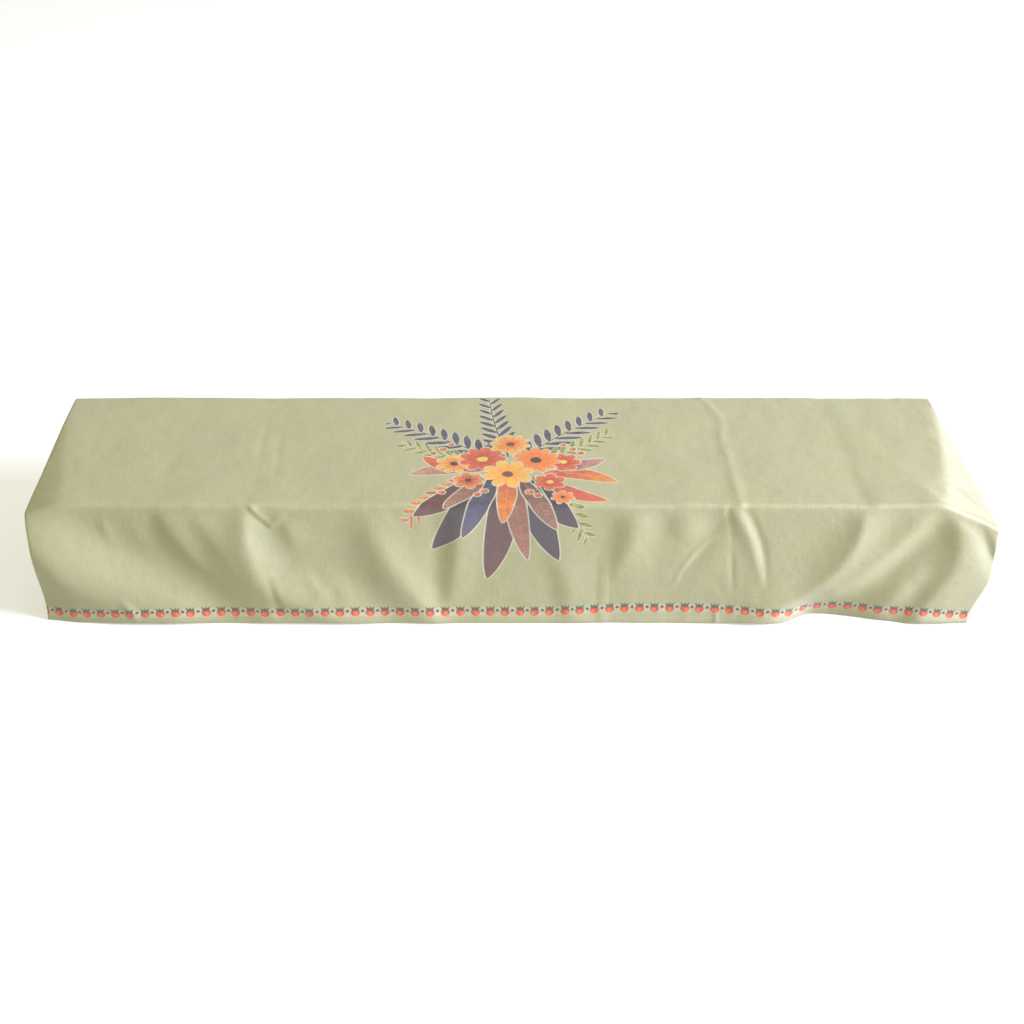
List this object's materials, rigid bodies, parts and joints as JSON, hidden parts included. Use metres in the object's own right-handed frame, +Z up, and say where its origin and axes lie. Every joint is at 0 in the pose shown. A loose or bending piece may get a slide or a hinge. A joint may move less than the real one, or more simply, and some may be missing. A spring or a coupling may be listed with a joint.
{
  "type": "keyboard dust cover",
  "caption": "Fitted cloth dust cover for a full-length keyboard, sewn as an open-bottomed box that drapes over the top, front, back and both ends.",
  "frame": {"origin": "underside of the top panel, midway along the keyboard and between front and back", "axes": "+X along the keyboard to the player's right, the player's side towards -Y, +Z up"},
  "size_m": [1.4092, 0.3565, 0.2073],
  "materials": {
    "main_cloth": "satin",
    "end_cloth": "satin"
  },
  "bodies": {
    "root": {"cover_main": "main_cloth", "end_left": "end_cloth", "end_right": "end_cloth"}
  },
  "joints": []
}
